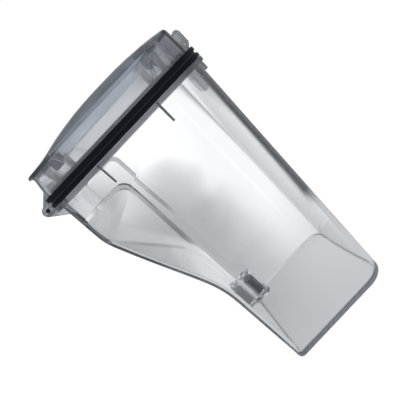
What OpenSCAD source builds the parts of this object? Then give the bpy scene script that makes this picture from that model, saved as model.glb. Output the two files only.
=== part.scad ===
// Clean water tank of an upright floor washer, standing on its base.
// X runs across the tank: the wing that the hand holds and the lid's hinge are at -X, the latch at +X.
// Y runs from front to back, and Z is up from the underside of the base. All sizes are in millimetres.

/* [Tank] */
// Width of the base, outside
base_w = 79.2; // [74:0.1:90]
// Depth of the base, outside
base_d = 97.2; // [92:0.1:112]
// Height of the rim's top face above the base
rim_z = 174.8; // [170:0.1:195]
// Thickness of the tank's walls
wall = 2.3; // [1.8:0.1:2.8]
// Thickness of the tank's floor
floor_t = 3.0; // [2.4:0.1:4]
// How far the right wall leans out from base to rim
side_lean = 4.9; // [2:0.1:7]
// How far the front and back walls each lean out from base to rim
depth_lean = 3.0; // [1:0.1:5]
// Corner radius of the left-hand upright edges
left_r = 4.0; // [3.2:0.1:7]
// Corner radius of the right-hand upright edges
right_r = 15.0; // [11:0.1:20]
// Radius round the bottom edge
foot_r = 1.4; // [0.8:0.1:2]

/* [Wing] */
// How far the wing stands out to the left past the base
wing_w = 24.3; // [18:0.1:28]
// Height at which the left wall starts to curve out
wing_low_z = 58; // [45:0.5:66]
// Height at which the sloping wall turns upright
wing_top_z = 143; // [136:0.5:148]
// Depth of the finger recesses at their upper inner corner
grip_depth = 6.3; // [4.5:0.1:6.6]
// Height of the front recess's top edge
grip_z = 157.6; // [155:0.1:161]
// Height of the back recess's top edge
back_grip_z = 168.8; // [160:0.1:169]
// Width of the recesses, from the wing's face to their upright edge
grip_w = 30.6; // [27:0.1:34]
// Corner radius of the recesses
grip_r = 5.4; // [3:0.1:6.5]
// Angle above the level of the line where the recesses run out into the wall
grip_lean = 54; // [48:0.5:60]

/* [Rim] */
// How far the rim's flange stands out from the walls
flange_out = 3.2; // [2.6:0.1:4]
// Thickness of the rim's flange
flange_t = 2.6; // [2:0.1:3.4]
// Width between the two guide fins on the front wall
fin_gap = 44.7; // [36:0.1:52]
// Height of the guide fins
fin_h = 10.7; // [6:0.1:14]
// Thickness of the guide fins
fin_t = 1.0; // [0.6:0.1:1.4]
// How far the guide fins stand out at their lower end
fin_low = 1.6; // [0.4:0.1:2.4]

/* [Gasket] */
// Height of the gasket
gasket_h = 6.3; // [5:0.1:8]
// Height of each of the gasket's two lips
lip_h = 2.4; // [1.8:0.1:2.4]
// Depth of the groove between the lips
lip_groove = 1.1; // [0.6:0.1:1.6]

/* [Lid] */
// Height of the lid's edge above the gasket
lid_end_h = 14.0; // [12.5:0.1:17]
// How far the crown rises above the lid's edge
crown_rise = 9.6; // [6:0.1:11]
// How square the crown is: 2 is a plain arc, more has fuller shoulders
crown_power = 2.6; // [2:0.1:3.2]
// Place of the crown's highest point, across the tank
crown_x = -2.0; // [-6:0.1:6]
// Thickness of the lid's walls
lid_wall = 2.0; // [1.6:0.1:2.4]
// Radius round the lid's top edge
lid_edge_r = 1.6; // [0.8:0.1:1.8]
// How far the left end draws in below its lip
lid_waist = 2.6; // [1:0.1:3.4]
// Width of the lid's finger recesses at their top
lid_grip_w = 71; // [60:0.5:73]
// Depth of the lid's finger recesses
lid_grip_depth = 3.0; // [2:0.1:4]
// Thickness of the lid's inner plate
plate_t = 1.8; // [1.4:0.1:2.4]
// Thickness of the web that closes the plug under the plate
web_t = 1.2; // [0.8:0.1:1.6]
// How far the plug's guide tab hangs below the rim
tab_drop = 15; // [9:0.5:18]
// Width of the guide tab
tab_w = 6.6; // [5:0.1:8]
// Distance of the guide tab's middle from the right-hand wall
tab_in = 8.9; // [8:0.1:11]

/* [Hinge] */
// Distance from the wing's wall to the hinge pin
hinge_out = 8.0; // [7.2:0.1:9.5]
// Height of the hinge pin above the rim
hinge_up = 1.9; // [1.2:0.1:2.4]
// Radius of the hinge knuckles
knuckle_r = 3.2; // [2.8:0.1:3.4]
// Radius of the hinge pins
hinge_pin_r = 1.25; // [1:0.05:1.4]
// Length of each lid knuckle
knuckle_len = 19.2; // [14:0.1:22]

/* [Latch] */
// Width of the latch lever
latch_w = 32; // [24:0.5:38]
// Height of the latch pin above the gasket
latch_up = 4.0; // [3.6:0.1:5]
// Height of the thumb tab above the latch pin
thumb_h = 9.9; // [8.6:0.1:11.5]
// Length of the latch's leg below the pin
leg_h = 19.4; // [17:0.1:24]
// Radius of the latch pin
latch_pin_r = 1.1; // [0.9:0.05:1.2]

/* [Outlet valve] */
// Distance of the valve from the base's left face
valve_in = 8.6; // [8.4:0.1:14]
// Distance of the valve from the base's back face
valve_deep = 9.0; // [8.6:0.1:14]
// Radius of the plunger
plunger_r = 4.55; // [4:0.05:4.7]
// Length of the plunger
plunger_len = 14.2; // [12:0.1:20]
// Radius of the outlet port in the base
port_r = 3.4; // [2.8:0.1:3.6]
// Travel of the plunger
valve_travel = 3.0; // [2:0.1:4]

/* [Hidden] */
$fn = 64;

// Clearances
seat_gap = 0.3;
run_gap = 0.06;
plug_gap = 0.7;
side_gap = 0.4;
fit_gap = 0.05;
rest_gap = 0.1;

// Segments round the corners of the lofted shells, and along their edges
left_steps = 7;
right_steps = 12;
edge_steps = 10;
end_steps = 10;

base_xl = -base_w / 2;
base_xr = base_w / 2;
rim_xl = base_xl - wing_w + 0.5;
rim_xr = base_xr + side_lean;
rim_hy = base_d / 2 + depth_lean;

function mix(a, b, t) = a + (b - a) * t;

// A point on a cubic curve through a and d, pulled towards b and c
function cubic(a, b, c, d, t) =
    a * pow(1 - t, 3) + b * 3 * t * pow(1 - t, 2) + c * 3 * t * t * (1 - t) + d * pow(t, 3);

// A point on a quadratic curve from a to c, pulled towards b
function quadratic(a, b, c, t) = a * pow(1 - t, 2) + b * 2 * t * (1 - t) + c * t * t;

// The point where a line from p touches the circle at c, on one side or the other
function touch(p, c, r, side) =
    let (
        d = c - p,
        reach = norm(d),
        a = atan2(d[1], d[0]) + side * asin(r / reach)
    )
    p + sqrt(reach * reach - r * r) * [cos(a), sin(a)];

// The left wall as [height, x]: nearly upright at the foot, an S out to the wing, upright above
foot_x = base_xl - 0.4;
bend_x = base_xl - wing_w + 1.5;
bend_z = wing_top_z - 5;
slope_z = bend_z - wing_low_z;
left_wall = concat(
    [[0, base_xl]],
    [for (i = [0:12]) cubic(
        [wing_low_z, foot_x],
        [wing_low_z + 0.29 * slope_z, foot_x - 0.15],
        [wing_low_z + 0.356 * slope_z, foot_x - 0.28 * (foot_x - bend_x)],
        [bend_z, bend_x], i / 12)],
    [for (i = [1:4]) quadratic(
        [bend_z, bend_x], [wing_top_z, bend_x - 1.5], [wing_top_z + 5, bend_x - 1.45], i / 4)],
    [[rim_z, rim_xl]]
);
function left_x(z) = lookup(z, left_wall);
function right_x(z) = base_xr + side_lean * z / rim_z;
function half_y(z) = base_d / 2 + depth_lean * z / rim_z;

function arc(cx, cy, r, from, steps) =
    [for (i = [0:steps]) [cx + r * cos(from + 90 * i / steps), cy + r * sin(from + 90 * i / steps)]];
function between(a, b, steps) = [for (i = [1:1:steps - 1]) mix(a, b, i / steps)];

// One level of a shell: a rectangle with small left corners and large right ones, anticlockwise
function outline(xl, xr, hy, rl, rr, long = 1, short = 1) = concat(
    arc(xr - rr, hy - rr, rr, 0, right_steps),
    between([xr - rr, hy], [xl + rl, hy], long),
    arc(xl + rl, hy - rl, rl, 90, left_steps),
    between([xl, hy - rl], [xl, rl - hy], short),
    arc(xl + rl, rl - hy, rl, 180, left_steps),
    between([xl + rl, -hy], [xr - rr, -hy], long),
    arc(xr - rr, rr - hy, rr, 270, right_steps),
    between([xr, rr - hy], [xr, hy - rr], short)
);

function tank_ring(z, inset) = [
    for (p = outline(left_x(z) + inset, right_x(z) - inset, half_y(z) - inset,
        max(left_r - inset, 0.8), max(right_r - inset, 0.8))) [p[0], p[1], z]
];

// Side faces between stacked rings of n points
function sides(levels, n) = [
    for (k = [0:levels - 2], i = [0:n - 1])
        let (j = (i + 1) % n, low = k * n, high = (k + 1) * n)
        each [[low + i, high + j, low + j], [low + i, high + i, high + j]]
];

// A flat end face, fanned out from a point in the middle of a corner so that no triangle is flat
function fan(first, n, up) = [
    for (i = [1:n - 2])
        let (hub = 4, a = first + (hub + i) % n, b = first + (hub + i + 1) % n)
        up ? [first + hub, b, a] : [first + hub, a, b]
];

// A closed solid through rings that are flat at both ends
module loft(rings) {
    n = len(rings[0]);
    levels = len(rings);
    polyhedron(
        points = [for (ring = rings) each ring],
        faces = concat(fan(0, n, false), sides(levels, n), fan((levels - 1) * n, n, true))
    );
}

// A plate standing across Y, drawn as x and z
module upright(y, t) {
    translate([0, y + t, 0]) rotate([90, 0, 0]) linear_extrude(height = t) children();
}

module both_sides() {
    children();
    mirror([0, 1, 0]) children();
}

// The plan of the tank at its rim, grown or shrunk all round
module rim_plan(grow) {
    xl = rim_xl - grow;
    xr = rim_xr + grow;
    hy = rim_hy + grow;
    rl = max(left_r + grow, 0.5);
    rr = right_r + grow;
    translate([xl + rl, -hy]) square([xr - rr - xl - rl, 2 * hy]);
    translate([xl, rl - hy]) square([rl, 2 * (hy - rl)]);
    translate([xr - rr, rr - hy]) square([rr, 2 * (hy - rr)]);
    for (s = [-1, 1]) {
        translate([xl + rl, s * (hy - rl)]) circle(r = rl);
        translate([xr - rr, s * (hy - rr)]) circle(r = rr);
    }
}

module rim_band(outer, inner, z, h) {
    translate([0, 0, z]) linear_extrude(height = h) difference() {
        rim_plan(outer);
        rim_plan(inner);
    }
}

// Tank

// Finger recess in a face of the wing. Its flat floor starts level with the wall along a sloping line
// and sinks in from there, so that it is deepest at its upper inner corner.
grip_x = rim_xl + grip_w;
grip_foot = [grip_x, wing_top_z - 37];
grip_bottom = wing_low_z + 20;
grip_face_y = half_y((grip_foot[1] + wing_top_z) / 2);
// Distance of a recess's upper inner corner from the line where its floor starts
function grip_reach(top) = (grip_x - grip_foot[0]) * sin(grip_lean) + (top - grip_foot[1]) * cos(grip_lean);

module grip_recess(grow, top) {
    corner_r = grip_r + grow;
    left = rim_xl - 20;
    right = grip_x + grow;
    high = top + grow;
    out = 6;
    slab = [160, 30, 130];
    intersection() {
        upright(-grip_face_y - out, out + grip_depth + grow + 2) union() {
            translate([left, grip_bottom]) square([right - left - corner_r, high - grip_bottom]);
            translate([left, grip_bottom]) square([right - left, high - corner_r - grip_bottom]);
            translate([right - corner_r, high - corner_r]) circle(r = corner_r);
        }
        translate([grip_foot[0], -grip_face_y, grip_foot[1]])
            rotate([0, grip_lean, 0])
                rotate([-atan(grip_depth / grip_reach(top)), 0, 0])
                    translate([-slab[0] / 2, grow - slab[1], -slab[1]]) cube(slab);
    }
}

module grip_recesses(grow) {
    grip_recess(grow, grip_z);
    mirror([0, 1, 0]) grip_recess(grow, back_grip_z);
}

module tank_outer() {
    loft(concat(
        [for (i = [0:3]) let (a = 90 * i / 4, in = foot_r * (1 - sin(a)))
            [for (p = tank_ring(0, in)) [p[0], p[1], foot_r * (1 - cos(a))]]],
        [tank_ring(foot_r, 0)],
        [for (k = [1:len(left_wall) - 1]) tank_ring(left_wall[k][0], 0)]
    ));
}

module tank_hollow() {
    hollow_r = foot_r;
    loft(concat(
        [for (i = [0:3]) let (a = 90 * i / 3, in = wall + hollow_r * (1 - sin(a)))
            [for (p = tank_ring(floor_t, in)) [p[0], p[1], floor_t + hollow_r * (1 - cos(a))]]],
        [for (k = [1:len(left_wall) - 1]) tank_ring(left_wall[k][0], wall)],
        [[for (p = tank_ring(rim_z, wall)) [p[0], p[1], rim_z + 2]]]
    ));
}

hinge_x = rim_xl - hinge_out;
hinge_z = rim_z + hinge_up;
hinge_c = [hinge_x, hinge_z];
lug_t = 3;
lug_foot = [rim_xl + 0.2, rim_z - 9];
knuckle_y = 20.4;
lug_ys = [knuckle_y - side_gap - lug_t, knuckle_y + knuckle_len + side_gap];

module hinge_lugs() {
    both_sides() for (y = lug_ys) upright(y, lug_t) union() {
        translate(hinge_c) circle(r = knuckle_r);
        polygon([
            hinge_c,
            touch(lug_foot, hinge_c, knuckle_r, 1),
            lug_foot,
            [rim_xl + 1.2, lug_foot[1]],
            [rim_xl + 1.2, rim_z],
            [hinge_x + sqrt(knuckle_r * knuckle_r - hinge_up * hinge_up) - 0.2, rim_z]
        ]);
    }
}

fin_mid_x = (rim_xl + rim_xr) / 2 - 2;
module guide_fins() {
    for (s = [-1, 1]) translate([fin_mid_x + s * fin_gap / 2 - fin_t / 2, 0, 0])
        rotate([90, 0, 90]) linear_extrude(height = fin_t) polygon([
            [-rim_hy + 1, rim_z - flange_t + 0.5],
            [-rim_hy + 1, rim_z - flange_t - fin_h],
            [-half_y(rim_z - flange_t - fin_h) - fin_low, rim_z - flange_t - fin_h],
            [-rim_hy - flange_out + 0.4, rim_z - flange_t],
            [-rim_hy - flange_out + 0.4, rim_z - flange_t + 0.5]
        ]);
}

// Outlet: a boss in the back left-hand corner of the floor with a stepped port
valve_x = base_xl + valve_in;
valve_y = base_d / 2 - valve_deep;
boss_r = plunger_r + 2.4;
boss_z = floor_t + 4.5;
collar_h = 2.4;
port_seat_r = plunger_r - 1.9;
port_depth = boss_z - 1.4;
gasket_groove_r = port_r + 2.2;
gasket_groove_h = 1.5;
gasket_hole_r = port_r + 0.6;

module at_valve(z) {
    translate([valve_x, valve_y, z]) children();
}

module tank_body() {
    color([0.86, 0.89, 0.9, 0.4])
    difference() {
        union() {
            difference() {
                union() {
                    tank_outer();
                    translate([0, 0, rim_z - flange_t])
                        linear_extrude(height = flange_t) rim_plan(flange_out);
                    hinge_lugs();
                    guide_fins();
                }
                difference() {
                    tank_hollow();
                    grip_recesses(wall);
                }
                grip_recesses(0);
            }
            at_valve(floor_t - 1) cylinder(r = boss_r, h = boss_z - floor_t + 1);
        }
        at_valve(-1) cylinder(r = port_r, h = port_depth + 1);
        at_valve(port_depth - 1) cylinder(r = port_seat_r, h = boss_z);
        at_valve(-1) cylinder(r = gasket_groove_r, h = gasket_groove_h + 1);
        // The groove that the cage's foot snaps into
        at_valve(boss_z - collar_h) difference() {
            cylinder(r = cage_r + fit_gap, h = boss_z);
            cylinder(r = cage_in_r - fit_gap, h = boss_z);
        }
        both_sides() for (y = lug_ys) translate([hinge_x, y - 1, hinge_z])
            rotate([-90, 0, 0]) cylinder(r = hinge_pin_r + fit_gap, h = lug_t + 2);
    }
}

// Outlet valve

cage_r = plunger_r + 1.25;
cage_in_r = plunger_r + 0.35;
cage_foot_z = boss_z - collar_h;
seal_h = 1.6;
plunger_z = boss_z + seat_gap + seal_h;
plunger_top = plunger_z + plunger_len;
cage_top = plunger_top + valve_travel + 3.2;
cage_roof_t = 1.2;
cage_dome_h = 2;
window_w = 5.2;

// Clear guide cage with a domed top and three tall windows
module outlet_valve_cage() {
    color([0.85, 0.87, 0.92, 0.5])
    at_valve(0) difference() {
        union() {
            translate([0, 0, cage_foot_z]) cylinder(r = cage_r, h = cage_top - cage_dome_h - cage_foot_z);
            translate([0, 0, cage_top - cage_dome_h]) intersection() {
                cylinder(r = cage_r, h = cage_dome_h);
                translate([0, 0, cage_dome_h - cage_r * 2]) sphere(r = cage_r * 2);
            }
        }
        translate([0, 0, cage_foot_z - 1]) cylinder(r = cage_in_r, h = cage_top - cage_roof_t - cage_foot_z + 1);
        for (a = [30, 150, 270]) rotate([0, 0, a])
            translate([0, -window_w / 2, boss_z + 0.8])
                cube([cage_r + 1, window_w, plunger_top - boss_z - 1.6]);
    }
}

stem_r = 1.4;
spring_seat_r = plunger_r - 0.6;
spring_seat_h = 1;
module outlet_plunger() {
    color([0.03, 0.03, 0.04])
    at_valve(0) difference() {
        union() {
            translate([0, 0, plunger_z]) cylinder(r = plunger_r, h = plunger_len - 0.8);
            translate([0, 0, plunger_top - 0.8]) cylinder(r1 = plunger_r, r2 = plunger_r - 0.4, h = 0.8);
            translate([0, 0, port_depth + 0.4]) cylinder(r = stem_r, h = plunger_z - port_depth);
        }
        // Seat for the spring
        translate([0, 0, plunger_top - spring_seat_h]) cylinder(r = spring_seat_r, h = spring_seat_h + 1);
    }
}

module outlet_seal() {
    color([0.06, 0.06, 0.07])
    at_valve(boss_z + seat_gap) difference() {
        cylinder(r = plunger_r - 0.3, h = seal_h);
        translate([0, 0, -1]) cylinder(r = stem_r + fit_gap, h = seal_h + 2);
    }
}

// A round wire wound into an open coil along Z
module coil(r, wire_r, length, turns) {
    steps = 14;
    around = 6;
    count = round(turns * steps);
    rings = [for (i = [0:count])
        let (a = 360 * i / steps, z = wire_r + (length - 2 * wire_r) * i / count)
        [for (k = [0:around - 1]) let (b = 360 * k / around)
            [(r + wire_r * cos(b)) * cos(a), (r + wire_r * cos(b)) * sin(a), z + wire_r * sin(b)]]];
    loft(rings);
}

spring_wire_r = 0.3;
module outlet_spring() {
    low = plunger_top - spring_seat_h;
    color([0.75, 0.76, 0.78])
    at_valve(low) coil(spring_seat_r - 0.25 - spring_wire_r, spring_wire_r, cage_top - cage_roof_t - low, 4);
}

module port_gasket() {
    color([0.06, 0.06, 0.07])
    at_valve(0.3) difference() {
        cylinder(r = gasket_groove_r - fit_gap, h = gasket_groove_h - 0.3);
        translate([0, 0, -1]) cylinder(r = gasket_hole_r, h = gasket_groove_h + 2);
    }
}

// Hinge

module hinge_pins() {
    reach = lug_ys[1] + lug_t - lug_ys[0];
    color([0.7, 0.71, 0.73])
    both_sides() translate([hinge_x, lug_ys[0], hinge_z]) rotate([-90, 0, 0]) {
        translate([0, 0, 0.3]) cylinder(r = hinge_pin_r, h = reach - 0.6);
        cylinder(r1 = hinge_pin_r - 0.3, r2 = hinge_pin_r, h = 0.3);
        translate([0, 0, reach - 0.3]) cylinder(r1 = hinge_pin_r, r2 = hinge_pin_r - 0.3, h = 0.3);
    }
}

// Lid

gasket_z = rim_z + seat_gap;
lid_z = gasket_z + gasket_h;
lid_edge_z = lid_z + lid_end_h;
plate_z = lid_z + rest_gap;
plate_top_z = plate_z + plate_t;
lid_xl = rim_xl - 0.9;
lid_xr = rim_xr - 0.9;
lid_hy = rim_hy - 0.6;

// Height of the crown's outside over a point of the plan
function crown(x, y) =
    lid_edge_z + crown_rise * (1 - pow(abs(x - crown_x) / (crown_x - lid_xl), crown_power))
    * (1 - pow(abs(y) / lid_hy, crown_power));

// How far the left end stands out at each share of the lid's height: waisted, with a lip at the top
lid_end = [[0, 0.1], [0.2, -0.2], [0.45, -0.9], [0.62, -1.5], [0.75, -lid_waist + 0.7],
    [0.84, -lid_waist + 1.0], [0.91, -0.6], [0.96, -0.1], [1, 0]];
function lid_left_x(u) = lid_xl - lookup(u, lid_end);

function lid_ring(u, inset, drop) = [
    for (p = outline(lid_left_x(u) + inset, mix(rim_xr - 0.1, lid_xr, u) - inset,
        mix(rim_hy - 0.1, lid_hy, u) - inset, left_r - min(inset, 3), right_r - inset, edge_steps, end_steps))
        [p[0], p[1], mix(lid_z, crown(p[0], p[1]), u) - drop]
];

// A closed solid through lid rings, with its top filled by a grid that follows the crown
module lid_loft(rings, drop) {
    n = len(rings[0]);
    levels = len(rings);
    half = n / 2 - end_steps + 1;
    top = (levels - 1) * n;
    last = rings[levels - 1];
    function edge(i) = last[i];
    function across(i) = last[half + end_steps - 1 + half - 1 - i];
    inner = [for (i = [1:half - 2], j = [1:end_steps - 1])
        let (t = (1 - cos(180 * j / end_steps)) / 2, p = mix(edge(i), across(i), t))
        [p[0], p[1], crown(p[0], p[1]) - drop]];
    extra = levels * n;
    function cell(i, j) =
        j == 0 ? top + i
        : j == end_steps ? top + half + end_steps - 1 + half - 1 - i
        : i == half - 1 ? top + half + j - 1
        : i == 0 ? top + n - j
        : extra + (i - 1) * (end_steps - 1) + j - 1;
    polyhedron(
        points = concat([for (ring = rings) each ring], inner),
        faces = concat(
            fan(0, n, false),
            sides(levels, n),
            [for (i = [0:half - 2], j = [0:end_steps - 1])
                each [[cell(i, j), cell(i, j + 1), cell(i + 1, j + 1)],
                    [cell(i, j), cell(i + 1, j + 1), cell(i + 1, j)]]]
        )
    );
}

lid_levels = [0, 0.2, 0.45, 0.62, 0.75, 0.84];
module lid_outer() {
    fillet = [for (i = [0:4]) let (a = 90 * i / 4) [lid_edge_r * (1 - cos(a)), lid_edge_r * (1 - sin(a))]];
    lid_loft(concat(
        [for (u = lid_levels) lid_ring(u, 0, 0)],
        [for (f = fillet) lid_ring(1, f[0], f[1])]
    ), 0);
}

module lid_hollow() {
    roof = lid_wall + 0.2;
    lid_loft(concat(
        [lid_ring(0, lid_wall, 1)],
        [for (u = lid_levels) lid_ring(u, lid_wall, 0)],
        [lid_ring(1, lid_wall + 0.4, roof + 0.4)],
        [lid_ring(1, lid_wall + 1.2, roof)]
    ), roof);
}

// Finger recess across the front of the lid, with sloping ends
lid_grip_z = lid_z + 2;
lid_grip_top = lid_edge_z - 1;
lid_grip_slope = 0.52;
lid_grip_x = (rim_xl + rim_xr) / 2 - 1.6;
module lid_grip(grow) {
    half = lid_grip_w / 2;
    slope = (lid_grip_top - lid_grip_z) * lid_grip_slope;
    floor_y = lid_hy - lid_grip_depth - grow;
    low = grow > 0 ? lid_z - 2 : lid_grip_z;
    upright(-lid_hy - 4, 4 + lid_hy - floor_y) polygon([
        [lid_grip_x - half + slope - grow, low],
        [lid_grip_x + half - slope + grow, low],
        [lid_grip_x + half - slope + grow, lid_grip_z],
        [lid_grip_x + half + grow, lid_grip_top + grow],
        [lid_grip_x - half - grow, lid_grip_top + grow],
        [lid_grip_x - half + slope - grow, lid_grip_z]
    ]);
}

// Screws: two at each end, driven up through the plate into the shell's bosses
screw_xs = [rim_xl + 8, rim_xr - 17];
screw_y = rim_hy - 13.5;
screw_r = 1.3;
screw_boss_r = 2.8;
screw_len = 6.5;
screw_head_r = 2.4;
screw_head_h = 1.6;
module at_screws() {
    for (x = screw_xs, s = [-1, 1]) translate([x, s * screw_y, 0]) children();
}

// Vents: a tower under the lid's roof near each end, with a one-way valve over it.
// Each is given as its place across the tank and the height of its valve's skirt.
vents = [[rim_xl + 12.4, 3.2], [rim_xr - 16.8, 5.6]];
vent_y = 23.6 - rim_hy;
vent_bore_r = 3.2;
vent_tower_r = vent_bore_r + 1.2;
vent_low_z = lid_z + 10.2;
vent_roof_z = lid_z + 14.4;
vent_hole_r = 1.0;
module at_vents(z) {
    for (v = vents) translate([v[0], vent_y, z]) children();
}

// Latch pin and the walls that carry it
latch_x = rim_xr + 5.6;
latch_z = lid_z + latch_up;
latch_c = [latch_x, latch_z];
ear_r = 2.9;
ear_t = 2.5;
spring_z = latch_z + thumb_h - 3.2;
tab_in_x = latch_x + 1.4;
cheek_z = latch_z + thumb_h - 1.2;
cheek_r = 3;
rib_x = rim_xr - 10.8;
rib_t = 1.6;
rib_deep = 7;

module hinge_arms() {
    arm_top = [lid_xl + 0.3, lid_z + 5.6];
    gap_x = rim_xl - flange_out - 0.5;
    both_sides() upright(knuckle_y, knuckle_len) union() {
        translate(hinge_c) circle(r = knuckle_r);
        polygon([
            hinge_c,
            [hinge_x + knuckle_r * 0.8, hinge_z],
            [gap_x, hinge_z + 1],
            [gap_x, lid_z + seat_gap],
            [lid_xl + 0.6, lid_z + seat_gap],
            [lid_xl + 0.6, arm_top[1]],
            arm_top,
            touch(arm_top, hinge_c, knuckle_r, -1)
        ]);
    }
}

// Cheeks on both sides of the latch, which carry its pin
module latch_cheeks() {
    out_x = latch_x + ear_r;
    both_sides() upright(latch_w / 2 + side_gap, ear_t) union() {
        translate(latch_c) circle(r = ear_r);
        translate([out_x - cheek_r, cheek_z - cheek_r]) circle(r = cheek_r);
        polygon([
            [rim_xr - 1.6, lid_z + seat_gap],
            [rim_xr + 1, lid_z + seat_gap],
            [latch_x, latch_z - ear_r],
            [latch_x, latch_z],
            [out_x, latch_z],
            [out_x, cheek_z - cheek_r],
            [out_x - cheek_r, cheek_z],
            [rim_xr - 1.6, cheek_z]
        ]);
    }
}

module lid_shell() {
    color([0.42, 0.46, 0.5, 0.6])
    difference() {
        union() {
            difference() {
                lid_outer();
                difference() {
                    lid_hollow();
                    both_sides() lid_grip(lid_wall);
                    both_sides() translate([rib_x - rib_t, -rim_hy, plate_top_z + seat_gap])
                        cube([rib_t, rib_deep, 30]);
                    at_screws() translate([0, 0, plate_top_z]) cylinder(r = screw_boss_r, h = 30);
                    at_vents(vent_low_z) cylinder(r = vent_tower_r, h = 30);
                }
                both_sides() lid_grip(0);
            }
            hinge_arms();
            latch_cheeks();
            // Peg for the latch's spring
            translate([rim_xr - 2, 0, spring_z]) rotate([0, 90, 0]) cylinder(r = 1.2, h = 4.4);
        }
        at_screws() translate([0, 0, lid_z]) cylinder(r = screw_r + fit_gap, h = screw_len + 0.6);
        at_vents(vent_low_z - 1) cylinder(r = vent_bore_r, h = vent_roof_z - vent_low_z + 1);
        at_vents(vent_roof_z - 1) cylinder(r = vent_hole_r, h = 30);
        both_sides() translate([hinge_x, knuckle_y - 1, hinge_z])
            rotate([-90, 0, 0]) cylinder(r = hinge_pin_r + run_gap, h = knuckle_len + 2);
        both_sides() translate([latch_x, latch_w / 2, latch_z])
            rotate([-90, 0, 0]) cylinder(r = latch_pin_r + fit_gap, h = ear_t + 2);
    }
}

// Inner plate with the plug that the gasket fits round
plug_in = wall + plug_gap;
plug_t = 1.8;
plug_low_z = rim_z - 2.2;
web_z = lid_z - web_t;
tab_low_z = rim_z - tab_drop;
tab_x = rim_xr - tab_in - tab_w / 2;
module lid_plate() {
    color([0.62, 0.66, 0.68, 0.5])
    difference() {
        union() {
            difference() {
                union() {
                    translate([0, 0, plate_z])
                        linear_extrude(height = plate_t) rim_plan(-lid_wall - seat_gap);
                    translate([0, 0, lid_z]) linear_extrude(height = plate_t) rim_plan(-plug_in);
                }
                both_sides() lid_grip(lid_wall + seat_gap);
            }
            translate([0, 0, web_z]) linear_extrude(height = web_t) rim_plan(-plug_in);
            rim_band(-plug_in, -plug_in - plug_t, plug_low_z, web_z - plug_low_z);
            // Round-ended guide tab in the large front corner
            intersection() {
                rim_band(-plug_in - 0.6, -plug_in - plug_t, tab_low_z, web_z - tab_low_z);
                upright(-rim_hy, rim_hy - 20) union() {
                    translate([tab_x, tab_low_z + tab_w / 2]) square([tab_w, tab_drop]);
                    translate([tab_x + tab_w / 2, tab_low_z + tab_w / 2]) circle(r = tab_w / 2);
                }
            }
        }
        at_screws() translate([0, 0, web_z - 1]) cylinder(r = screw_r + 0.2, h = plate_top_z - web_z + 2);
        // Air way from the vents into the tank
        translate([lid_grip_x, vent_y, web_z - 1]) cylinder(r = 2, h = plate_top_z - web_z + 2);
    }
}

module lid_gasket() {
    lip_top_z = gasket_z + gasket_h - lip_h;
    color([0.04, 0.04, 0.06])
    union() {
        rim_band(flange_out, -plug_in + fit_gap, gasket_z, lip_h);
        rim_band(flange_out - lip_groove, -plug_in + fit_gap, gasket_z + lip_h, lip_top_z - gasket_z - lip_h);
        rim_band(flange_out, -plug_in + fit_gap, lip_top_z, lip_h);
    }
}

module lid_screws() {
    color([0.2, 0.2, 0.23])
    at_screws() {
        translate([0, 0, web_z - screw_head_h]) difference() {
            cylinder(r = screw_head_r, h = screw_head_h);
            for (a = [0, 90]) rotate([0, 0, a])
                translate([-screw_head_r / 2, -0.3, -1]) cube([screw_head_r, 0.6, 1.9]);
        }
        translate([0, 0, web_z]) cylinder(r = screw_r, h = web_t + screw_len);
    }
}

// Latch

leg_t = 2.4;
nose_x = rim_xr + flange_out + seat_gap;
module latch_profile() {
    leg_in = latch_x - 0.6;
    leg_out = leg_in + leg_t;
    low = latch_z - leg_h;
    tab_out = latch_x + 4.0;
    top = latch_z + thumb_h;
    translate(latch_c) circle(r = ear_r - 0.1);
    // Leg with a hooked, sloping nose
    polygon([
        [leg_in, latch_z],
        [leg_in, rim_z - flange_t - 0.8],
        [nose_x, rim_z - flange_t - 0.8],
        [nose_x, rim_z - flange_t - 2],
        [leg_in + 0.4, low],
        [leg_out - 0.6, low],
        [leg_out, low + 0.6],
        [leg_out, latch_z]
    ]);
    // Thumb tab with a rounded top
    polygon([
        [latch_x, latch_z - 1.8],
        [tab_out - 1.2, latch_z - 1.8],
        [tab_out, latch_z - 0.4],
        [tab_out, top - 3],
        [tab_in_x, top - 3],
        [tab_in_x, latch_z + 1.4],
        [latch_x, latch_z + 2]
    ]);
    intersection() {
        translate([tab_out - 3, top - 3]) circle(r = 3);
        translate([tab_in_x, top - 3.2]) square([4, 4]);
    }
}

module latch_lever() {
    color([0.5, 0.54, 0.57, 0.7])
    difference() {
        upright(-latch_w / 2, latch_w) latch_profile();
        translate([latch_x, -latch_w / 2 - 1, latch_z])
            rotate([-90, 0, 0]) cylinder(r = latch_pin_r + run_gap, h = latch_w + 2);
    }
}

module latch_pin() {
    reach = latch_w / 2 + side_gap + ear_t;
    color([0.7, 0.71, 0.73])
    translate([latch_x, -reach, latch_z]) rotate([-90, 0, 0]) cylinder(r = latch_pin_r, h = 2 * reach);
}

module latch_spring() {
    low = lid_xr + 0.5;
    color([0.75, 0.76, 0.78])
    translate([low, 0, spring_z]) rotate([0, 90, 0]) coil(1.7, 0.25, tab_in_x - 0.3 - low, 4);
}

// Vents

vent_filter_h = 1.4;
vent_ring_h = 1.4;
vent_ring_r = 2.3;
vent_skirt_t = 1;
vent_nose_r = 3;
vent_nose_h = 2.6;
vent_slit = 0.4;

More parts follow.
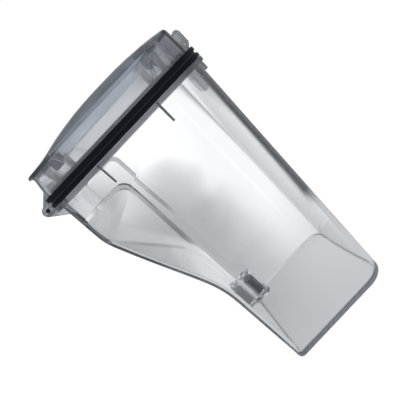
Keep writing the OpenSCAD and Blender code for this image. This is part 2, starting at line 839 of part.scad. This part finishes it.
// One-way rubber valves: a cap that is pushed over each tower, with a slit nose below
module vent_valve() {
    skirt_r = vent_tower_r + vent_skirt_t;
    color([0.08, 0.09, 0.16])
    for (v = vents) translate([v[0], vent_y, vent_low_z]) difference() {
        union() {
            translate([0, 0, -vent_skirt_t]) cylinder(r = skirt_r, h = v[1] + vent_skirt_t);
            translate([0, 0, -vent_skirt_t - vent_nose_h])
                cylinder(r1 = vent_nose_r, r2 = skirt_r - 0.4, h = vent_nose_h);
        }
        cylinder(r = vent_tower_r + fit_gap, h = v[1] + 1);
        translate([0, 0, -vent_nose_h]) cylinder(r = vent_nose_r - 0.8, h = vent_nose_h + 1);
        translate([-vent_nose_r * 0.7, -vent_slit / 2, -vent_skirt_t - vent_nose_h - 1])
            cube([vent_nose_r * 1.4, vent_slit, vent_nose_h]);
    }
}

module vent_filter() {
    color([0.9, 0.9, 0.88])
    at_vents(vent_roof_z - vent_filter_h) cylinder(r = vent_bore_r - fit_gap, h = vent_filter_h);
}

module vent_retainer() {
    color([0.62, 0.66, 0.68, 0.6])
    at_vents(vent_roof_z - vent_filter_h - vent_ring_h) difference() {
        cylinder(r = vent_bore_r - fit_gap, h = vent_ring_h);
        translate([0, 0, -1]) cylinder(r = vent_ring_r, h = vent_ring_h + 2);
    }
}

tank_body();
outlet_valve_cage();
outlet_plunger();
outlet_seal();
outlet_spring();
port_gasket();
hinge_pins();
lid_shell();
lid_plate();
lid_gasket();
lid_screws();
latch_lever();
latch_pin();
latch_spring();
vent_valve();
vent_filter();
vent_retainer();
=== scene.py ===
import math

import bmesh
import bpy
from mathutils import Matrix, Vector


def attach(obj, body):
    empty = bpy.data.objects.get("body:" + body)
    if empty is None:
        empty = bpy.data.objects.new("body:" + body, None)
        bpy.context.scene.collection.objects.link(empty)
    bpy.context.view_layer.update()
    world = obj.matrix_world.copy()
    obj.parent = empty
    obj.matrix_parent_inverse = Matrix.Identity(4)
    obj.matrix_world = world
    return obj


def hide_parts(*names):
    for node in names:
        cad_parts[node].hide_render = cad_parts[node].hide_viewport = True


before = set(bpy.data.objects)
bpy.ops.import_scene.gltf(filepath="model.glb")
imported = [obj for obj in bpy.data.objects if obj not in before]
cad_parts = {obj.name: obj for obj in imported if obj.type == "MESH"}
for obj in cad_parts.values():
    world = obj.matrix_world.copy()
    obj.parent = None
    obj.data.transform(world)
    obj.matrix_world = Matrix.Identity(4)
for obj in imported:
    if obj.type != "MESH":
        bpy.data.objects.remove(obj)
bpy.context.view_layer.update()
scene = bpy.context.scene


# Camera: a hand-held view from just over the front of the tank, a little to the left of its middle.
# The camera is rolled, so that the tank leans to the left in the picture.
camera_at = Vector((-0.00995, -0.2716, 0.178))
camera_pitch = math.radians(14.4)
camera_turn = math.radians(0.14)
camera_roll = math.radians(-46.7)
camera_data = bpy.data.cameras.new("camera")
camera_data.sensor_width = 36
camera_data.lens = 36.9
camera_data.clip_start = 0.01
camera = bpy.data.objects.new("camera", camera_data)
camera.matrix_world = (
    Matrix.Translation(camera_at)
    @ Matrix.Rotation(camera_turn, 4, "Z")
    @ Matrix.Rotation(math.radians(90) - camera_pitch, 4, "X")
    @ Matrix.Rotation(camera_roll, 4, "Z")
)
scene.collection.objects.link(camera)
scene.camera = camera
scene.view_settings.view_transform = "Standard"
scene.cycles.max_bounces = 40
scene.cycles.transmission_bounces = 40
scene.cycles.glossy_bounces = 24


# Studio: a seamless white floor and backdrop, lit so evenly that they show no shadow.
# Tall soft lights stand round the tank with grey gaps between them, which give the clear walls their greys.
class Wire:
    """A shader socket that can be used in sums, so that an expression adds its own Math nodes."""

    def __init__(self, tree, socket):
        self.tree = tree
        self.socket = socket

    def maths(self, operation, *others):
        node = self.tree.nodes.new("ShaderNodeMath")
        node.operation = operation
        for slot, value in zip(node.inputs, (self, *others)):
            if isinstance(value, Wire):
                self.tree.links.new(value.socket, slot)
            else:
                slot.default_value = value
        return Wire(self.tree, node.outputs[0])

    def __add__(self, other):
        return self.maths("ADD", other)

    __radd__ = __add__

    def __mul__(self, other):
        return self.maths("MULTIPLY", other)

    __rmul__ = __mul__

    def __sub__(self, other):
        return self.maths("SUBTRACT", other)

    def __rsub__(self, other):
        return (self * -1.0).maths("ADD", other)

    def __pow__(self, other):
        return self.maths("POWER", other)

    def rise(self, low, high):
        """0 below low, 1 above high, and smooth between them."""
        node = self.tree.nodes.new("ShaderNodeMapRange")
        node.interpolation_type = "SMOOTHSTEP"
        self.tree.links.new(self.socket, node.inputs["Value"])
        node.inputs["From Min"].default_value = low
        node.inputs["From Max"].default_value = high
        return Wire(self.tree, node.outputs["Result"])


class Nodes:
    """A node tree, with one way to add any node: its type, its settings, and what its sockets hold."""

    def __init__(self, tree):
        self.tree = tree

    def add(self, kind, settings=None, **sockets):
        node = self.tree.nodes.new(kind)
        for name, value in (settings or {}).items():
            if name == "stops":
                elements = node.color_ramp.elements
                while len(elements) < len(value):
                    elements.new(0.5)
                for element, (at, colour) in zip(elements, value):
                    element.position = at
                    element.color = colour
            else:
                setattr(node, name, value)
        for name, value in sockets.items():
            self.feed(node.inputs[name.replace("_", " ")], value)
        return node

    def feed(self, slot, value):
        if isinstance(value, Wire):
            value = value.socket
        if isinstance(value, bpy.types.NodeSocket):
            self.tree.links.new(value, slot)
        else:
            slot.default_value = value

    def wire(self, socket):
        return Wire(self.tree, socket)

    def mixed(self, share, first, second):
        """A colour between two, by share."""
        node = self.add("ShaderNodeMix", {"data_type": "RGBA"})
        self.feed(node.inputs["Factor"], share)
        self.feed(node.inputs[6], first)
        self.feed(node.inputs[7], second)
        return node.outputs[2]


def grey(level, blue=0.0):
    return (level - blue, level, level + blue, 1)


floor_size = 6
floor_mesh = bmesh.new()
bmesh.ops.create_grid(floor_mesh, x_segments=1, y_segments=1, size=floor_size)
bmesh.ops.translate(floor_mesh, verts=floor_mesh.verts, vec=(0, 0, -0.0005))
floor_data = bpy.data.meshes.new("floor")
floor_mesh.to_mesh(floor_data)
floor_mesh.free()
floor = bpy.data.objects.new("floor", floor_data)
scene.collection.objects.link(floor)
paper = bpy.data.materials.new("paper")
paper.use_nodes = True
paper_shader = paper.node_tree.nodes["Principled BSDF"]
paper_shader.inputs["Base Color"].default_value = grey(0.3)
paper_shader.inputs["Roughness"].default_value = 0.9
paper_shader.inputs["Emission Color"].default_value = grey(1)
paper_shader.inputs["Emission Strength"].default_value = 1.0
floor_data.materials.append(paper)
floor.visible_transmission = False
floor.visible_glossy = False

lights_round = 8
light_turn = math.radians(1.3)
light_lean = 0.7
lean_floor = -0.265
lid_lean = 1.5
card_azimuth = math.radians(-1.5)
card_up = -0.216
card_wide = math.radians(3.2)
card_high = 0.075
column_glow = 1.14
corner_glow = 0.62
gap_grey = 0.42
sky_grey = 0.22
ground_grey = 0.66
world = bpy.data.worlds.new("studio")
scene.world = world
world.use_nodes = True
sky = Nodes(world.node_tree)
direction = sky.add("ShaderNodeTexCoord").outputs["Generated"]
clouds = sky.wire(sky.add("ShaderNodeTexNoise", Vector=direction, Scale=5.0, Detail=2.0).outputs["Fac"])
split = sky.add("ShaderNodeSeparateXYZ", Vector=direction)
across, ahead, up = (sky.wire(split.outputs[axis]) for axis in "XYZ")
bearing = across.maths("ARCTAN2", ahead)
lean = up.maths("MAXIMUM", lean_floor) * light_lean + up.maths("MAXIMUM", 0.0) * lid_lean
azimuth = bearing - light_turn + lean + (clouds - 0.5) * 0.12
column = ((azimuth * lights_round).maths("COSINE") * 0.5 + 0.5).rise(0.25, 0.85)
beside_card = ((bearing - card_azimuth + (clouds - 0.5) * 0.12) * (1 / card_wide)) ** 2
above_card = ((up - card_up + (clouds - 0.5) * 0.1) * (1 / card_high)) ** 2
column = column * (0.42 + 0.58 * (beside_card + above_card).rise(0.0, 2.0))
straight = ((azimuth * (lights_round / 2)).maths("COSINE") * 0.5 + 0.5).rise(0.35, 0.65)
lamps = sky.mixed(straight, grey(corner_glow), grey(column_glow))
glow = sky.mixed(column, grey(gap_grey, 0.012), lamps)
glow = sky.mixed(up.rise(0.13, 0.33), glow, grey(sky_grey, 0.01))
glow = sky.mixed(up.rise(-0.32, -0.62), glow, grey(ground_grey, 0.01))
seen = sky.add("ShaderNodeLightPath").outputs["Is Camera Ray"]
background = world.node_tree.nodes["Background"]
sky.feed(background.inputs["Color"], sky.mixed(seen, glow, grey(1.0)))


# Tank: clear hard plastic, injection moulded in one piece with its rim, hinge lugs and outlet boss.
# The walls are polished inside and out, with fine scuffs outside from use and a matt grained floor.
class Finish(Nodes):
    """A material with one Principled shader, whose plain values are set on its own sockets."""

    def __init__(self, name, **values):
        self.material = bpy.data.materials.new(name)
        self.material.use_nodes = True
        super().__init__(self.material.node_tree)
        self.shader = self.tree.nodes["Principled BSDF"]
        self.place = self.add("ShaderNodeTexCoord").outputs["Object"]
        for socket, value in values.items():
            self.set(socket, value)

    def set(self, socket, value):
        self.feed(self.shader.inputs[socket.replace("_", " ")], value)

    def noise(self, scale, detail=3.0, stretch=(1, 1, 1)):
        mapping = self.add("ShaderNodeMapping", Vector=self.place, Scale=stretch)
        noise = self.add("ShaderNodeTexNoise", Vector=mapping.outputs[0], Scale=scale, Detail=detail)
        return self.wire(noise.outputs["Fac"])

    def along(self, axis):
        """How far a point lies along one of the part's axes."""
        return self.wire(self.add("ShaderNodeSeparateXYZ", Vector=self.place).outputs[axis])

    def band(self, axis, low, high, soft):
        """1 between two places on an axis, and 0 past them."""
        at = self.along(axis)
        return at.rise(low - soft, low) * (1 - at.rise(high, high + soft))

    def bump(self, height, distance, strength=1.0):
        bump = self.add("ShaderNodeBump", Height=height, Distance=distance, Strength=strength)
        self.set("Normal", bump.outputs[0])

    def rim_light(self):
        """1 where the surface is seen edge-on, and 0 where it is seen square on."""
        return self.wire(self.add("ShaderNodeLayerWeight", Blend=0.5).outputs["Facing"])

    def tinted(self, colour, density):
        """Plastic that is coloured all through, so that it darkens with its thickness."""
        volume = self.add("ShaderNodeVolumeAbsorption", Color=colour, Density=density)
        self.tree.links.new(volume.outputs[0], self.tree.nodes["Material Output"].inputs["Volume"])


def moulded(node, body, finish, edge=0.0, segments=2, sharp=28):
    """A merged copy of a solid with rounded edges and smooth curves, which stands for that solid."""
    shape = bmesh.new()
    shape.from_mesh(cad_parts[node].data)
    bmesh.ops.remove_doubles(shape, verts=shape.verts, dist=1e-6)
    bmesh.ops.dissolve_limit(shape, angle_limit=math.radians(0.3), verts=shape.verts, edges=shape.edges)
    if edge:
        corners = [e for e in shape.edges if e.is_manifold and e.calc_face_angle() > math.radians(sharp)]
        bmesh.ops.bevel(
            shape,
            geom=corners,
            offset=edge,
            segments=segments,
            profile=0.5,
            affect="EDGES",
            clamp_overlap=True,
            material=-1,
        )
    for face in shape.faces:
        face.smooth = True
    data = bpy.data.meshes.new(node + "_look")
    shape.to_mesh(data)
    shape.free()
    data.set_sharp_from_angle(angle=math.radians(sharp))
    piece = bpy.data.objects.new(node + "_look", data)
    scene.collection.objects.link(piece)
    weighted = piece.modifiers.new("weighted", "WEIGHTED_NORMAL")
    weighted.keep_sharp = True
    weighted.weight = 80
    data.materials.append(finish.material)
    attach(piece, body)
    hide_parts(node)
    return piece


floor_low = 0.0030
floor_top = 0.0046
rim_low = 0.1722
rim_high = 0.1750
side_y = 0.026
edge_lean = 0.43
edge_low = 0.078
edge_high = 0.094
wing_end = -0.0634
wing_low = 0.136
foot_low = 0.0040
foot_high = 0.0050
grip_x = -0.0328
grip_top = 0.1576
back_grip_rise = 0.0112
grip_r = 0.0054
grip_edge = 0.0022
grip_lean = math.radians(54)
grip_foot_z = 0.106
fin_xs = (-0.0339, 0.0108)
fin_t = 0.001
fin_low = 0.162
clear = Finish("clear_plastic", Transmission_Weight=1.0, IOR=1.5)
scuffs = clear.noise(140, detail=6, stretch=(1, 1, 0.2)).rise(0.5, 0.75)
grained = clear.band("Z", floor_low, floor_top, 0.0003)
matt_rim_and_painted_shade = clear.band("Z", rim_low, rim_high, 0.0003)
wide, deep, high = (clear.along(axis) for axis in "XYZ")
# Painted shade: the outer faces of the front and back walls, above a slanted line, are painted nearly black
# where they are seen edge-on.
at_side = deep.maths("ABSOLUTE").rise(side_y - 0.002, side_y + 0.004)
rim_light = clear.rim_light()
plan = clear.add("ShaderNodeVectorMath", {"operation": "MULTIPLY"}, Vector=clear.place)
clear.feed(plan.inputs[1], (1, 1, 0))
faced = clear.add("ShaderNodeVectorMath", {"operation": "DOT_PRODUCT"}, Vector=plan.outputs[0])
clear.feed(faced.inputs[1], clear.add("ShaderNodeNewGeometry").outputs["Normal"])
near_side = clear.wire(faced.outputs["Value"]).rise(0.0, 0.006)
upper = (high + wide * edge_lean).rise(edge_low, edge_high)
near_edge = near_side * at_side * upper * rim_light.rise(0.2, 0.36)
# Painted shade: a dark grey ring is painted round the foot, just above the floor, where it is seen edge-on.
foot_ring = clear.band("Z", foot_low, foot_high, 0.0003) * rim_light.rise(0.1, 0.3)
# Painted shade: soft dark lines are painted along the finger recesses' rounded edges and along the recesses'
# slanted foot, strongest at the front.
top = grip_top + back_grip_rise * deep.maths("GREATER_THAN", 0.0)
past_x = (wide - (grip_x - grip_r)).maths("MAXIMUM", 0.0)
past_z = (high - top + grip_r).maths("MAXIMUM", 0.0)
from_edge = (past_x * past_x + past_z * past_z).maths("SQRT") - grip_r
grip_line = from_edge.rise(-0.0006, 0.0004) * (1 - from_edge.rise(grip_edge, grip_edge + 0.0012))
grip_line = grip_line * high.rise(0.098, 0.118) * wide.rise(-0.056, -0.045)
from_foot = (wide - grip_x) * math.sin(grip_lean) + (high - grip_foot_z) * math.cos(grip_lean)
foot_line = from_foot.rise(-0.0026, -0.0012) * (1 - from_foot.rise(-0.0012, 0.0004))
foot_line = foot_line * wide.rise(-0.062, -0.050) * (1 - wide.rise(-0.038, -0.034))
foot_line = foot_line * (0.1 + 0.25 * deep.maths("LESS_THAN", 0.0))
recess_painted_shade = (grip_line * 0.64).maths("MAXIMUM", foot_line) * deep.maths("ABSOLUTE").rise(0.037, 0.040)
grip_skin = (1 - from_edge.rise(-0.0006, 0.0)) * high.rise(0.096, 0.104)
# Painted shade: the tank's near-white colour is painted grey where its walls are seen edge-on, and the lines
# below paint more shade over it.
body_tone_and_painted_shade = clear.mixed(rim_light.rise(0.72, 1.0), grey(0.975, 0.003), grey(0.5, 0.01))
body_tone_and_painted_shade = clear.mixed(near_edge, body_tone_and_painted_shade, grey(0.03, 0.003))
body_tone_and_painted_shade = clear.mixed(foot_ring, body_tone_and_painted_shade, grey(0.3, 0.03))
# Painted shade: a grey band and, at its very end, a nearly black line are painted along the wing's left end.
wing_edge = high.rise(wing_low, wing_low + 0.008) * deep.maths("ABSOLUTE").rise(0.043, 0.045)
inner_edge = 1 - wide.rise(wing_end + 0.0018, wing_end + 0.0024)
outer_edge = 1 - wide.rise(wing_end + 0.0008, wing_end + 0.0014)
body_tone_and_painted_shade = clear.mixed(wing_edge * inner_edge, body_tone_and_painted_shade, grey(0.78, 0.01))
body_tone_and_painted_shade = clear.mixed(wing_edge * outer_edge, body_tone_and_painted_shade, grey(0.04, 0.004))
body_tone_and_painted_shade = clear.mixed(recess_painted_shade, body_tone_and_painted_shade, grey(0.16, 0.015))
# Painted shade: the rim band is painted grey, darker towards its right end; the same band is also matt.
rim_painted_shade = clear.mixed(wide.rise(-0.060, -0.030), (0.5, 0.48, 0.52, 1), (0.25, 0.24, 0.28, 1))
body_tone_and_painted_shade = clear.mixed(matt_rim_and_painted_shade * 0.8, body_tone_and_painted_shade, rim_painted_shade)
# Painted shade: thin dark upright lines are painted high on the front wall.
for fin_x in fin_xs:
    fin = clear.band("X", fin_x - fin_t / 2, fin_x + fin_t / 2, 0.0001) * high.rise(fin_low - 0.001, fin_low)
    body_tone_and_painted_shade = clear.mixed(fin * deep.rise(-0.044, -0.047), body_tone_and_painted_shade, grey(0.09, 0.01))
clear.set("Base Color", body_tone_and_painted_shade)
foot_band = (1 - high.rise(foot_low - 0.0006, foot_low)) * near_side
clear.set("Roughness", 0.01 + 0.06 * scuffs + 0.3 * (grained + matt_rim_and_painted_shade + foot_band) + 0.16 * grip_skin)
clear.bump(clear.noise(16, detail=2) + 0.05 * grained * clear.noise(900), 0.0002)
clear.tinted((0.55, 0.62, 0.68, 1), 22)
tank = moulded("tank_body", "tank", clear)
tank.visible_shadow = False


# Outlet valve cage: a clear plastic cup with windows that guides the plunger, with a domed top.
# It is pressed over the boss in the floor's corner, and its windows let the water in.
cage_clear = Finish("cage_plastic", Transmission_Weight=1.0, IOR=1.45, Roughness=0.03)
cage_haze = cage_clear.noise(120, detail=4)
cage_clear.set("Base Color", cage_clear.mixed(cage_haze, (0.93, 0.93, 0.97, 1), (0.98, 0.98, 1, 1)))
cage_clear.bump(cage_clear.noise(300, detail=2), 0.00005)
cage = moulded("outlet_valve_cage", "tank", cage_clear)
cage.visible_shadow = False


# Outlet plunger: black hard plastic that slides up and down in the cage.
# It shines faintly along the rubbed stripes that its guides leave.
black_plastic = Finish("black_plastic", IOR=1.5, Specular_IOR_Level=0.25)
rubbed = black_plastic.noise(700, detail=2, stretch=(1, 1, 0.04))
black_plastic.set("Base Color", black_plastic.mixed(rubbed, (0.003, 0.006, 0.024, 1), (0.010, 0.016, 0.048, 1)))
black_plastic.set("Roughness", 0.25 + 0.25 * rubbed)
black_plastic.bump(black_plastic.noise(2500), 0.00003)
moulded("outlet_plunger", "valve", black_plastic, edge=0.00012)


# Outlet seal: a black rubber washer in the plunger's groove, which closes the port from above.
# The port's gasket is a ring of the same rubber, pushed into the groove under the floor.
black_rubber = Finish("black_rubber", Roughness=0.5, Specular_IOR_Level=0.3)
bloom = black_rubber.noise(60, detail=5).rise(0.45, 0.75)
black_rubber.set("Base Color", black_rubber.mixed(bloom, (0.006, 0.007, 0.012, 1), (0.016, 0.017, 0.024, 1)))
black_rubber.bump(black_rubber.noise(1800, detail=2), 0.00005)
moulded("outlet_seal", "valve", black_rubber, edge=0.0002)
moulded("port_gasket", "tank", black_rubber, edge=0.0003)


# Hinge pins: two bright steel pins pressed into the tank's lugs, which the lid's arms turn on.
# They are cut from drawn wire, so that fine draw lines run along them, and their sheared ends are dark.
cut_end_y = 0.0427
steel = Finish("steel", Metallic=1.0)
drawn = steel.noise(4000, detail=2, stretch=(1, 0.02, 1))
bright = steel.mixed(drawn, (0.34, 0.35, 0.37, 1), (0.56, 0.57, 0.59, 1))
cut_end = steel.along("Y").maths("ABSOLUTE").rise(cut_end_y - 0.0002, cut_end_y)
steel.set("Base Color", steel.mixed(cut_end, bright, grey(0.03, 0.004)))
steel.set("Roughness", 0.18 + 0.2 * drawn)
steel.bump(drawn, 0.00002)
moulded("hinge_pins", "tank", steel, edge=0.0002)
moulded("latch_pin", "lid", steel, edge=0.0002)


# Coil springs: bright spring wire, one that holds the plunger down and one that pushes the latch out.
# The wire is drawn too, and rougher where the coiling tool has rubbed it.
spring_wire = Finish("spring_wire", Metallic=1.0)
worn = spring_wire.noise(900, detail=4)
spring_wire.set("Base Color", spring_wire.mixed(worn, (0.34, 0.35, 0.37, 1), (0.66, 0.67, 0.69, 1)))
spring_wire.set("Roughness", 0.2 + 0.25 * worn)
for name in ("outlet_spring", "latch_spring"):
    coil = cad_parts[name]
    coil.data.materials.clear()
    coil.data.materials.append(spring_wire.material)


# Lid shell: smoky see-through plastic, moulded with its crown, finger recesses, hinge arms and latch cheeks.
# It is a little cloudy and polished outside, and matt over the ribs near the latch, where a painted highlight
# makes it lighter.
rib_left = 0.0316
rib_right = 0.0333
lid_seam = 0.1835
crown_low = 0.1955
ledge_left = -0.0606
ledge_right = -0.0500
ledge_low = 0.1915
block_left = 0.0335
block_right = 0.0436
smoky = Finish("smoky_plastic", Transmission_Weight=0.88, IOR=1.5)
smoke = smoky.noise(22, detail=2)
# Painted highlight: a light strip is painted over the ribs near the latch, where the plastic is also matt.
rib_matt_and_painted_highlight = smoky.band("X", rib_left, rib_right, 0.0004) * smoky.along("Z").rise(lid_seam - 0.002, lid_seam + 0.001)
rib_matt_and_painted_highlight = rib_matt_and_painted_highlight * smoky.along("Y").maths("ABSOLUTE").rise(0.040, 0.044)
# The lid's own smoky tone, which the lines below paint with light and shade.
lid_tone_and_painted_light = smoky.mixed(smoke, (0.8, 0.815, 0.83, 1), (0.86, 0.87, 0.88, 1))
wide, high = smoky.along("X"), smoky.along("Z")
crown = high.rise(crown_low - 0.002, crown_low)
# Painted light: the lid's left end below the ledge, and all of the lid below the rim, are painted near-white.
end_painted_light = (1 - high.rise(ledge_low - 0.001, ledge_low)) * (1 - wide.rise(-0.060, -0.046))
# Painted shade: a dark grey patch is painted on the front, over the ledge at the lid's left end.
ledge = smoky.band("X", ledge_left, ledge_right, 0.0006) * high.rise(ledge_low - 0.0004, ledge_low + 0.0004)
ledge = ledge * (1 - smoky.along("Y").rise(-0.034, -0.030))
end_painted_light = end_painted_light.maths("MAXIMUM", 1 - high.rise(0.172, 0.176))
# Painted shade: the crown's left part, the lid's right part at half strength and the latch block are painted
# darker grey.
end_painted_shade = (crown * (1 - wide.rise(-0.060, -0.020))).maths("MAXIMUM", 0.5 * wide.rise(0.018, 0.030))
end_painted_shade = end_painted_shade.maths("MAXIMUM", wide.rise(block_left, block_left + 0.0008))
end_painted_shade = end_painted_shade * (1 - wide.rise(block_right, block_right + 0.001))
# Painted shade: a nearly black strip is painted on the front, at the latch block's right end.
corner = wide.rise(0.0392, 0.0402) * (1 - wide.rise(block_right, block_right + 0.001))
corner = corner * (1 - smoky.along("Y").rise(-0.041, -0.038))
# Painted shade: the crown is painted a darker blue-grey.
lid_tone_and_painted_light = smoky.mixed(crown, lid_tone_and_painted_light, (0.76, 0.82, 0.91, 1))
lid_tone_and_painted_light = smoky.mixed(end_painted_light, lid_tone_and_painted_light, grey(0.985, 0.003))
lid_tone_and_painted_light = smoky.mixed(end_painted_shade * 0.7, lid_tone_and_painted_light, (0.44, 0.46, 0.51, 1))
lid_tone_and_painted_light = smoky.mixed(corner, lid_tone_and_painted_light, grey(0.015, 0.002))
lid_tone_and_painted_light = smoky.mixed(ledge * 0.6, lid_tone_and_painted_light, (0.3, 0.31, 0.34, 1))
# Painted shade: the lid is painted grey where it is seen edge-on.
lid_tone_and_painted_light = smoky.mixed(smoky.rim_light().rise(0.8, 1.0), lid_tone_and_painted_light, grey(0.3, 0.02))
smoky.set("Base Color", smoky.mixed(rib_matt_and_painted_highlight, lid_tone_and_painted_light, grey(0.98)))
smoky.set("Roughness", 0.03 + 0.05 * smoky.noise(80) + 0.35 * rib_matt_and_painted_highlight)
smoky.bump(smoky.noise(18, detail=2), 0.0002)
smoky.tinted((0.3, 0.36, 0.42, 1), 80)
shell = moulded("lid_shell", "lid", smoky)
shell.visible_shadow = False


# Lid plate: the inner half of the lid, of the same smoky plastic, screwed up into the shell's bosses.
# Its plug reaches down into the tank and carries the gasket.
# It shares the shell's material, painted light and shade included.
plate = moulded("lid_plate", "lid", smoky)
plate.visible_shadow = False


# Lid gasket: near-black rubber with two lips, stretched round the plug so that it closes the rim.
# A painted highlight lightens the narrow groove between the lips.
groove_low = 0.1778
groove_high = 0.1783
lip = Finish("gasket_rubber", Roughness=0.5, Specular_IOR_Level=0.12)
lip_bloom = lip.noise(45, detail=5).rise(0.45, 0.8)
lip_tone = lip.mixed(lip_bloom, (0.004, 0.005, 0.009, 1), (0.010, 0.011, 0.017, 1))
# Painted highlight: the groove between the lips is painted a lighter grey.
groove = lip.band("Z", groove_low, groove_high, 0.0002)
lip.set("Base Color", lip.mixed(groove, lip_tone, (0.045, 0.048, 0.06, 1)))
lip.bump(lip.noise(1500, detail=2), 0.00005)
moulded("lid_gasket", "lid", lip, edge=0.0002)


# Lid screws: four blackened pan-head screws for plastic, driven up through the plate into the bosses.
# Each has a coarse thread, which is a thin ridge wound round its shank.
screw_places = ((-0.0554, 0.0381), (-0.0554, -0.0381), (0.0275, 0.0381), (0.0275, -0.0381))
shank_r = 0.0013
thread_r = 0.00155
thread_pitch = 0.0011
thread_turns = 5
thread_low = 0.1821
thread_steps = 14
dark_steel = Finish("dark_steel", Metallic=1.0)
blacking = dark_steel.noise(500, detail=4)
dark_steel.set("Base Color", dark_steel.mixed(blacking, (0.05, 0.052, 0.06, 1), (0.16, 0.165, 0.18, 1)))
dark_steel.set("Roughness", 0.3 + 0.25 * blacking)
dark_steel.bump(blacking, 0.00002)
moulded("lid_screws", "lid", dark_steel, edge=0.0001)
ridge = bmesh.new()
for x, y in screw_places:
    profile = [
        ridge.verts.new((x + shank_r - 0.0001, y, thread_low + side * thread_pitch * 0.3)) for side in (-1, 1)
    ]
    profile.insert(1, ridge.verts.new((x + thread_r, y, thread_low)))
    outline = [ridge.edges.new((profile[i], profile[(i + 1) % 3])) for i in range(3)]
    ends = [ridge.faces.new(profile)]
    wound = bmesh.ops.spin(
        ridge,
        geom=ends + outline + profile,
        cent=(x, y, 0),
        axis=(0, 0, 1),
        dvec=(0, 0, thread_pitch / thread_steps),
        angle=math.tau * thread_turns,
        steps=thread_steps * thread_turns,
    )
bmesh.ops.remove_doubles(ridge, verts=ridge.verts, dist=1e-7)
bmesh.ops.recalc_face_normals(ridge, faces=ridge.faces)
for face in ridge.faces:
    face.smooth = True
thread_data = bpy.data.meshes.new("screw_threads")
ridge.to_mesh(thread_data)
ridge.free()
thread_data.materials.append(dark_steel.material)
threads = bpy.data.objects.new("screw_threads", thread_data)
scene.collection.objects.link(threads)
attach(threads, "lid")


# Latch lever: smoky plastic tab at the lid's right end, which turns on its pin and hooks under the rim.
# It shares the shell's material, painted light and shade included.
lever = moulded("latch_lever", "latch", smoky)
lever.visible_shadow = False


# Air vents: two one-way valves under the lid's roof, so that air gets in as the water runs out.
# Each is a dark blue rubber duckbill, under a felt filter that a smoky ring holds down.
navy = Finish("navy_rubber", Roughness=0.5, Specular_IOR_Level=0.35)
cloudy = navy.noise(90, detail=4)
navy.set("Base Color", navy.mixed(cloudy, (0.006, 0.012, 0.05, 1), (0.014, 0.026, 0.09, 1)))
navy.bump(navy.noise(1600, detail=2), 0.00005)
moulded("vent_valve", "lid", navy, edge=0.0002)
felt = Finish("filter_felt", Roughness=0.95, Sheen_Weight=0.3)
fibres = felt.noise(1400, detail=6, stretch=(1, 1, 4))
felt.set("Base Color", felt.mixed(fibres.rise(0.35, 0.7), (0.62, 0.62, 0.6, 1), (0.86, 0.86, 0.84, 1)))
felt.bump(fibres, 0.0002)
moulded("vent_filter", "lid", felt, edge=0.0002)
# The ring shares the shell's material, painted light and shade included.
ring = moulded("vent_retainer", "lid", smoky)
ring.visible_shadow = False
